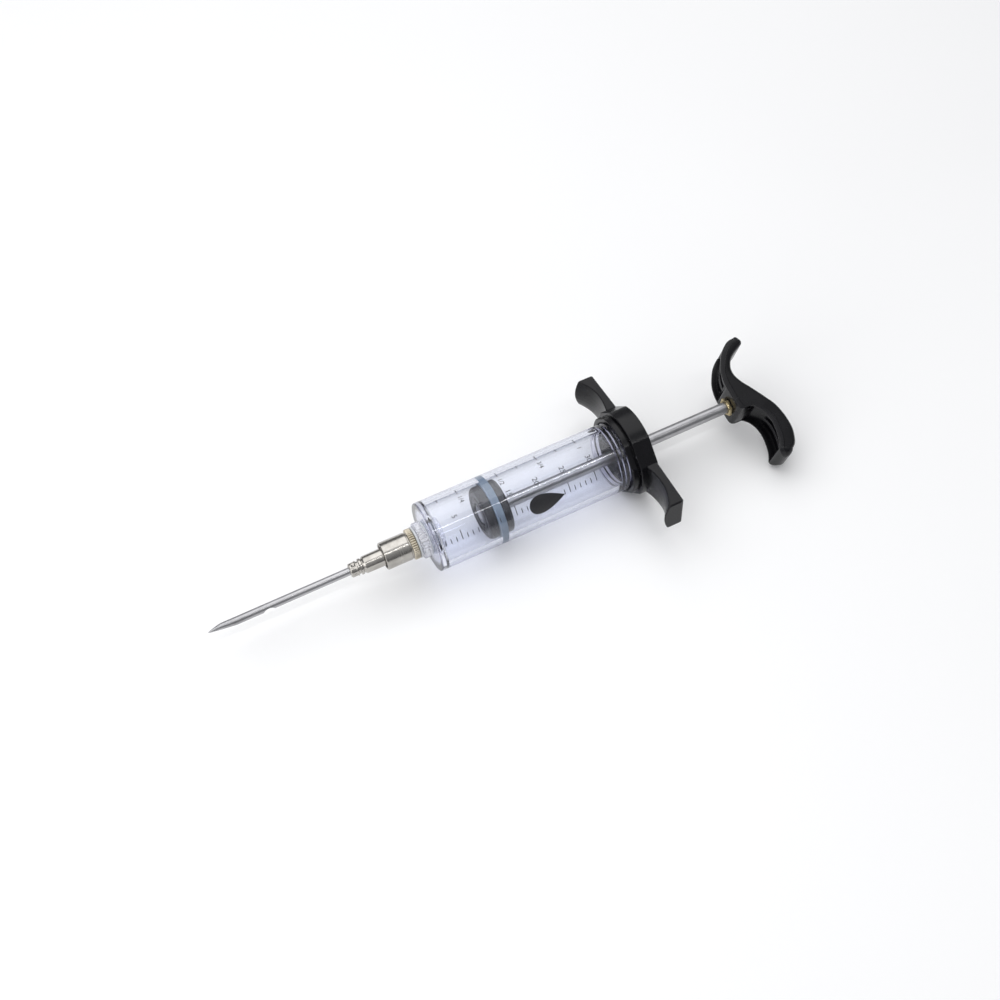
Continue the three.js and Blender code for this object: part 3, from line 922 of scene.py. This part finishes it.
def make_nut(name, node, across_flats, bore, finish):
    front, rear = span(node)
    corner = across_flats / 2 / math.cos(math.pi / 6)
    bevel = 0.3 * MM
    profile = [
        (front + bevel, bore),
        (front, bore + bevel),
        (front, 0.96 * across_flats / 2),
        (front + bevel, corner),
        (rear - bevel, corner),
        (rear, 0.96 * across_flats / 2),
        (rear, bore + bevel),
        (rear - bevel, bore),
    ]
    nut = turned(name, profile, 72, hexagon(across_flats, corner))
    dress(nut, finish, "plunger", node, sharp=25)


# ---- Grip cap ----


def grip_radius(angle):
    """The ring is round on top and underneath, with a flat beside each wing."""
    start, end = math.radians(29.5), math.radians(63.5)
    fold = abs((angle + math.pi / 2) % math.pi - math.pi / 2)
    if start < fold < end:
        middle = (start + end) / 2
        return CROWN_RADIUS * math.cos((end - start) / 2) / math.cos(fold - middle)
    return CROWN_RADIUS


def make_grip_ring():
    bore = BARREL_RADIUS + 0.3 * MM
    wall = GRIP_REAR - 3.6 * MM
    hole = 4.5 * MM
    lip_rear = GRIP_FRONT + 2.4 * MM
    band_front = GRIP_FRONT + 2.9 * MM
    lip = CROWN_RADIUS - 1.6 * MM
    groove = CROWN_RADIUS - 2.4 * MM
    outline = soften([
        (wall, bore),
        (GRIP_FRONT, bore),
        (GRIP_FRONT, lip),
        (lip_rear, lip),
        (lip_rear, groove),
        (band_front, groove),
        (band_front, CROWN_RADIUS),
        (GRIP_REAR, CROWN_RADIUS),
        (GRIP_REAR, 8.5 * MM),
        (GRIP_REAR - 0.5 * MM, 8 * MM),
        (GRIP_REAR - 0.5 * MM, hole),
        (wall, hole),
    ], 0.5 * MM, steps=8)

    def flatted(x, size, angle):
        """Only what reaches past the flats is cut by them."""
        if size < groove + 0.2 * MM:
            return size
        return min(size, grip_radius(angle) - (CROWN_RADIUS - size))

    ring = turned("grip_ring", outline, 256, flatted)
    dress(ring, black, "grip", "grip_cap", sharp=14)


# How fast a wing's front face swells towards the ring and towards its tip, per metre.
ROOT_BEND = 18.5
TIP_BEND = 30


def wing_section(reach, side, inset):
    """A rounded outline across a wing, at a distance from the injector's axis."""
    root = 16 * MM
    middle = 25 * MM  # where the wing is thinnest
    bend = (ROOT_BEND if reach < middle else TIP_BEND) * (reach - middle) ** 2
    front = GRIP_REAR - 3.4 * MM - bend + inset
    rear = GRIP_REAR - 0.3 * MM - inset
    grown = (reach - root) / (WING_TIP - root)
    height = (8.1 - 1.0 * grown) * MM - inset
    bulge = (0.5 + 1.2 * max(0, grown) ** 2) * MM
    corners = [(rear, -height), (rear, height), (front, height)]
    for t in (0.35, 0.7, 1):
        corners.append((front - bulge * (1 - (1 - t) ** 2), height * (1 - t)))
    for t in (0.7, 0.35, 0):
        corners.append((front - bulge * (1 - (1 - t) ** 2), -height * (1 - t)))
    outline = soften(corners, 0.7 * MM, steps=5)
    return [Vector((x, side * reach, AXIS_Z + z)) for x, z in outline]


def make_wings():
    edge = 0.8 * MM
    root = 14.6 * MM
    for side, name in ((-1, "wing_near"), (1, "wing_far")):
        rings = [wing_section(reach, side, 0) for reach in steps_between(root, WING_TIP - edge, 28)]
        for turn in steps_between(0, math.pi / 2, 6)[1:]:
            reach = WING_TIP - edge + edge * math.sin(turn)
            rings.append(wing_section(reach, side, edge * (1 - math.cos(turn))))
        dress(loft(name, rings), black, "grip", sharp=35)


# ---- Handle ----

# Pairs of points across the handle from the hook's tip to the palm lobe's tip. Each is a front
# point and a back point: millimetres behind the boss face, and millimetres along the handle.
HANDLE_SECTIONS = (
    ((13.3, 23.3), (15.4, 19.9)),
    ((10.6, 23.0), (13.4, 18.9)),
    ((8.1, 21.6), (11.3, 17.8)),
    ((5.6, 19.4), (9.1, 16.3)),
    ((3.4, 16.4), (7.3, 14.2)),
    ((1.5, 13.0), (6.3, 11.7)),
    ((0.4, 9.4), (6.3, 8.8)),
    ((0.0, 6.0), (7.6, 5.3)),
    ((0.0, 2.0), (9.3, 2.5)),
    ((0.0, -2.0), (11.0, -0.5)),
    ((0.4, -4.6), (12.4, -3.0)),
    ((2.0, -5.6), (13.4, -5.0)),
    ((5.0, -5.6), (14.6, -7.3)),
    ((7.4, -7.6), (15.5, -9.7)),
    ((9.0, -10.8), (16.1, -12.5)),
    ((9.6, -14.6), (16.5, -15.7)),
    ((9.2, -18.8), (16.4, -20.5)),
    ((8.3, -22.4), (15.2, -24.4)),
    ((7.3, -24.6), (13.9, -26.8)),
    ((6.5, -25.8), (12.1, -28.2)),
)
HANDLE_HALF_WIDTH = 8 * MM
LAST_SECTION = len(HANDLE_SECTIONS) - 1
HOLLOW_HALF_WIDTH = 7.1 * MM
SLOT_SPACING = 4.45 * MM
SLOT_HALF_WIDTH = 1.25 * MM
POCKET_WALLS = (
    SLOT_HALF_WIDTH,
    SLOT_SPACING - SLOT_HALF_WIDTH,
    SLOT_SPACING + SLOT_HALF_WIDTH,
    HOLLOW_HALF_WIDTH,
)
WALL_HALF_SLOPE = 0.05 * MM


def through(points, t):
    """A smooth curve through evenly spaced 2-D points, for t from 0 to 1."""
    last = len(points) - 1
    place = min(t * last, last - 1e-9)
    i = int(place)
    u = place - i
    a, b, c, d = (Vector(points[min(last, max(0, i + k))]) for k in (-1, 0, 1, 2))
    return 0.5 * (2 * b + (c - a) * u + (2 * a - 5 * b + 4 * c - d) * u ** 2
                  + (3 * b - a - 3 * c + d) * u ** 3)


def handle_point(flat, across):
    """A place on the handle: its 2-D outline point and its distance across the handle."""
    spin = HANDLE_SPIN
    y = flat.y * math.cos(spin) - across * math.sin(spin)
    z = flat.y * math.sin(spin) + across * math.cos(spin)
    return Vector((HANDLE_FACE + flat.x, y, AXIS_Z + z))


def pocket_depth(across, place):
    """How deep the front is hollowed: across the handle, and at a place counted in sections."""
    if abs(across) > HOLLOW_HALF_WIDTH:
        return 0
    depth = 2 * MM * window(place, 1.2, 7.2, 0.6) + 3 * MM * window(place, 10.8, 19.2, 0.5)
    for centre in (-SLOT_SPACING, 0, SLOT_SPACING):
        if abs(across - centre) < SLOT_HALF_WIDTH:
            depth += 1.6 * MM * window(place, 3, 6.4, 0.6) + 2.4 * MM * window(place, 13.6, 18.5, 0.5)
    return depth


def handle_ring(front, back, place, narrowed=0):
    """One closed section of the handle: hollowed front, a rim along each side, round back."""
    half_width = HANDLE_HALF_WIDTH - narrowed
    through_it = back - front
    thickness = through_it.length
    direction = through_it.normalized()
    front_edge = min(0.4 * MM, 0.3 * thickness)
    back_edge = min(1.9 * MM, 0.4 * thickness)
    rim = min(1.8 * MM, 0.4 * thickness)
    step = min(0.35 * MM, 0.08 * thickness)
    body = half_width - step
    side = []
    for turn in steps_between(0, math.pi / 2, 4):
        across = half_width - front_edge * (1 - math.sin(turn))
        side.append((front_edge * (1 - math.cos(turn)), across))
    side += [(rim, half_width), (rim + step, body)]
    for turn in steps_between(0, math.pi / 2, 4):
        side.append((thickness - back_edge * (1 - math.sin(turn)), body - back_edge * (1 - math.cos(turn))))
    # One column stands on each side of every wall, so that the walls come out steep.
    columns = [wall + slope for wall in POCKET_WALLS for slope in (-WALL_HALF_SLOPE, WALL_HALF_SLOPE)]
    points = []
    for column in [-c for c in reversed(columns)] + columns:
        depth = min(pocket_depth(column, place), 0.6 * thickness)
        points.append((depth, column * half_width / HANDLE_HALF_WIDTH))
    points += side + [(depth, -across) for depth, across in reversed(side)]
    return [handle_point(front + direction * depth, across) for depth, across in points]


def round_end(front, back, outwards):
    """Sections that close an end of the handle with half a circle, rounded across it too."""
    centre = (front + back) / 2
    half = (back - front) / 2
    ahead = half.orthogonal() * outwards
    rings = []
    corner = 1.5 * half.length
    for degrees in (12, 24, 36, 48, 60, 71, 80, 87):
        turn = math.radians(degrees)
        middle = centre + ahead * math.sin(turn)
        reach = half * math.cos(turn)
        narrowed = corner * (1 - math.cos(turn))
        rings.append(handle_ring(middle - reach, middle + reach, 0, narrowed))
    return rings


def make_handle():
    fronts = [Vector((x * MM, y * MM)) for (x, y), _ in HANDLE_SECTIONS]
    backs = [Vector((x * MM, y * MM)) for _, (x, y) in HANDLE_SECTIONS]
    rings = []
    for t in steps_between(0, 1, 190):
        rings.append(handle_ring(through(fronts, t), through(backs, t), t * LAST_SECTION))
    hook_end = round_end(fronts[0], backs[0], 1)
    lobe_end = round_end(fronts[-1], backs[-1], -1)
    rings = list(reversed(hook_end)) + rings + lobe_end
    dress(loft("palm_handle", rings), black, "plunger", "handle", sharp=35)


# ---- Plain rings and washers ----


def ring_radius(node):
    """A ring's outer radius; the handle's pieces are spun, which widens their boxes."""
    return 3.2 * MM if node == "handle_insert" else outer_radius(node)


def make_rings():
    """Turned rings whose ends and outside come from the frame: bore and edge in millimetres."""
    rows = (
        ("hub_seal", 2.4, 0.15, pale_silicone, "seal_carrier"),
        ("nose_washer", 3.1, 0.15, pale_silicone, "barrel"),
        ("nose_gasket", 5.0, 0.1, pale_silicone, "barrel"),
        ("front_washer", 2.1, 0.1, dark_steel_and_shade, "plunger"),
        ("back_washer", 2.1, 0.1, dark_steel_and_shade, "plunger"),
        ("cap_gasket", 10.0, 0.2, gasket_rubber, "gasket"),
        ("handle_insert", ROD_RADIUS / MM + 0.05, 0.2, brass, "plunger"),
    )
    for node, bore, edge, finish, body in rows:
        front, rear = span(node)
        profile = bush_profile(front, rear, bore * MM, ring_radius(node), edge * MM)
        dress(turned(node + "_ring", profile, ROUND), finish, body, node)


def make_rod_bush():
    front, rear = span("rod_bush")
    wall = GRIP_REAR - 3.7 * MM
    guide = ROD_RADIUS + 0.1 * MM
    flange = outer_radius("rod_bush")
    outline = [(front, guide), (front, flange), (wall, flange), (wall, 4.4 * MM),
               (rear, 4.4 * MM), (rear, guide)]
    bush = turned("rod_guide", soften(outline, 0.25 * MM), ROUND)
    dress(bush, black, "grip", "rod_bush")


# ---- Stage ----


def make_floor():
    half = 4.0
    height = -0.1 * MM  # just clear of the grip ring

    def build(bm):
        corners = ((-half, -half), (half, -half), (half, half), (-half, half))
        bm.faces.new([bm.verts.new((x, y, height)) for x, y in corners])

    floor = mesh_object("studio_floor", build)
    finish = Finish("pale_floor")
    cloud = finish.noise(3, 2)
    finish.set(
        Base_Color=finish.blend(finish.between(cloud, 0, 1), shade(0.94), shade(0.97)),
        Roughness=0.9,
        Specular_IOR_Level=0.1,
    )
    floor.data.materials.append(finish.material)


def area_light(name, place, target, width, depth, power, color=(1, 1, 1)):
    light = bpy.data.lights.new(name, "AREA")
    light.shape = "RECTANGLE"
    light.size = width
    light.size_y = depth
    light.energy = power
    light.color = color
    lamp = bpy.data.objects.new(name, light)
    lamp.location = place
    lamp.rotation_euler = (Vector(place) - Vector(target)).to_track_quat("Z", "Y").to_euler()
    bpy.context.scene.collection.objects.link(lamp)


def make_sky():
    """Soft light, brighter overhead than at the horizon; seen directly it is a pale backdrop."""
    world = bpy.data.worlds.new("studio")
    bpy.context.scene.world = world
    world.use_nodes = True
    tree = world.node_tree
    place = tree.nodes.new("ShaderNodeTexCoord")
    split = tree.nodes.new("ShaderNodeSeparateXYZ")
    rise = tree.nodes.new("ShaderNodeMapRange")
    background = tree.nodes["Background"]
    tree.links.new(place.outputs["Generated"], split.inputs["Vector"])
    tree.links.new(split.outputs["Z"], rise.inputs["Value"])
    rise.inputs["From Max"].default_value = 0.9
    rise.inputs["To Min"].default_value = 0.12
    rise.inputs["To Max"].default_value = 0.56
    seen = tree.nodes.new("ShaderNodeLightPath")
    backdrop = tree.nodes.new("ShaderNodeMath")
    backdrop.operation = "MAXIMUM"
    tree.links.new(rise.outputs["Result"], backdrop.inputs[0])
    tree.links.new(seen.outputs["Is Camera Ray"], backdrop.inputs[1])
    tree.links.new(backdrop.outputs["Value"], background.inputs["Strength"])
    background.inputs["Color"].default_value = (0.96, 0.97, 1, 1)


def make_lights():
    centre = (0, 0, AXIS_Z)
    area_light("overhead", (-0.1, 0.35, 0.9), centre, 1.5, 1.1, 7)
    area_light("left_fill", (-0.8, -0.3, 0.5), centre, 0.7, 0.6, 2.5)
    strip = math.radians(-24)
    place = around(0, 0.9, strip)
    area_light("strip", place, centre, 0.9, 0.03, 1)


def make_camera():
    """The camera looks down on the injector from the near side, turned a little to its needle end."""
    azimuth, elevation, roll = math.radians(-22.4), math.radians(53.8), math.radians(-5.1)
    distance = 0.5024
    aim = Vector((0.7 * MM, 1.75 * MM, AXIS_Z + MM))
    back = Vector((
        math.sin(azimuth) * math.cos(elevation),
        -math.cos(azimuth) * math.cos(elevation),
        math.sin(elevation),
    ))
    data = bpy.data.cameras.new("camera")
    data.sensor_width = 36
    data.lens = 46.8
    data.clip_start = 0.01
    camera = bpy.data.objects.new("camera", data)
    level = back.to_track_quat("Z", "Y").to_matrix()
    camera.rotation_euler = (level @ Matrix.Rotation(roll, 3, "Z")).to_euler()
    camera.location = aim + back * distance
    bpy.context.scene.collection.objects.link(camera)
    bpy.context.scene.camera = camera


def make_view():
    """Plain colours, and enough bounces for light to pass the barrel's four clear surfaces."""
    scene = bpy.context.scene
    bounces = 24
    scene.view_settings.view_transform = "Standard"
    scene.cycles.max_bounces = bounces
    scene.cycles.transmission_bounces = bounces
    scene.cycles.transparent_max_bounces = bounces
    scene.cycles.sample_clamp_indirect = 8


make_needle()
make_ferrule()
make_hub()
make_socket()
make_knurled_ring()
make_nose_bush()
make_nose_nut()
make_barrel()
make_scale()
make_badge()
make_piston()
make_rod()
make_nut("piston_nut_visual", "piston_nut", 7 * MM, 2.1 * MM, dark_steel_and_shade)
make_nut("lock_nut_visual", "lock_nut", 6.6 * MM, ROD_RADIUS + 0.1 * MM, brass)
make_grip_ring()
make_wings()
make_handle()
make_rings()
make_rod_bush()
make_floor()
make_sky()
make_lights()
make_camera()
make_view()
